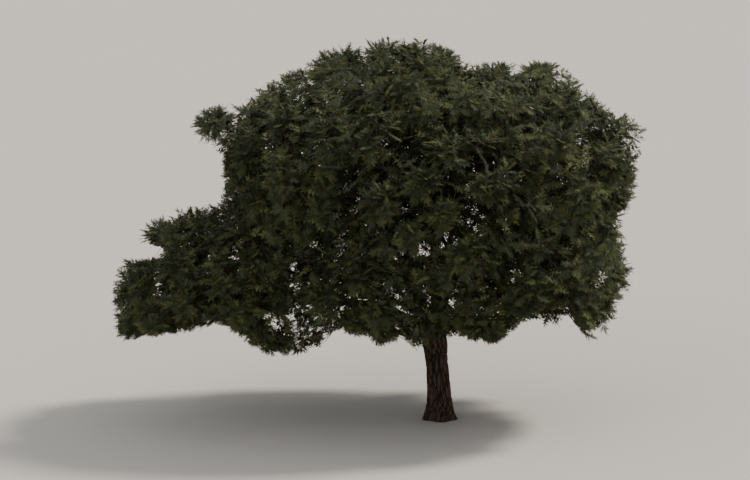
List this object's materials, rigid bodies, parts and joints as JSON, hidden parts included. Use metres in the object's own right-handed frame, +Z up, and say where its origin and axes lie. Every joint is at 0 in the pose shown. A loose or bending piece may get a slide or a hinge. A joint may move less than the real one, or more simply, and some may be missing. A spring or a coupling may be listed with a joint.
{
  "type": "acacia tree",
  "caption": "Old acacia tree with a short leaning trunk, arching boughs and a dense domed crown, browsed level underneath, that hangs far out on one side.",
  "frame": {"origin": "middle of the flat cut under the trunk, at ground level", "axes": "+Z up along the trunk, +X to the right of the pictured side and along the crown's greatest width, +Y away from the viewer"},
  "size_m": [17.0715, 12.9694, 12.4541],
  "materials": {
    "bark": "matte",
    "foliage": "matte"
  },
  "bodies": {
    "root": {"trunk": "bark", "bough_crest_back_right": "bark", "bough_crest_left": "bark", "bough_crest_front": "bark", "bough_skirt_right": "bark", "bough_skirt_back": "bark", "bough_skirt_left": "bark", "bough_skirt_front": "bark", "bough_shoulder_back_right": "bark", "bough_shoulder_back": "bark", "bough_shoulder_back_left": "bark", "bough_shoulder_front_left": "bark", "bough_shoulder_front": "bark", "bough_shoulder_front_right": "bark", "bough_skirt_back_right": "bark", "bough_skirt_back_left": "bark", "bough_skirt_front_left": "bark", "bough_skirt_front_right": "bark", "foliage_skirt_right": "foliage", "foliage_skirt_back_right": "foliage", "foliage_skirt_back": "foliage", "foliage_skirt_back_left": "foliage", "foliage_skirt_left": "foliage", "foliage_skirt_front_left": "foliage", "foliage_skirt_front": "foliage", "foliage_skirt_front_right": "foliage", "foliage_shoulder_back_right": "foliage", "foliage_shoulder_back": "foliage", "foliage_shoulder_back_left": "foliage", "foliage_shoulder_front_left": "foliage", "foliage_shoulder_front": "foliage", "foliage_shoulder_front_right": "foliage", "foliage_crest_back_right": "foliage", "foliage_crest_left": "foliage", "foliage_crest_front": "foliage"}
  },
  "joints": []
}
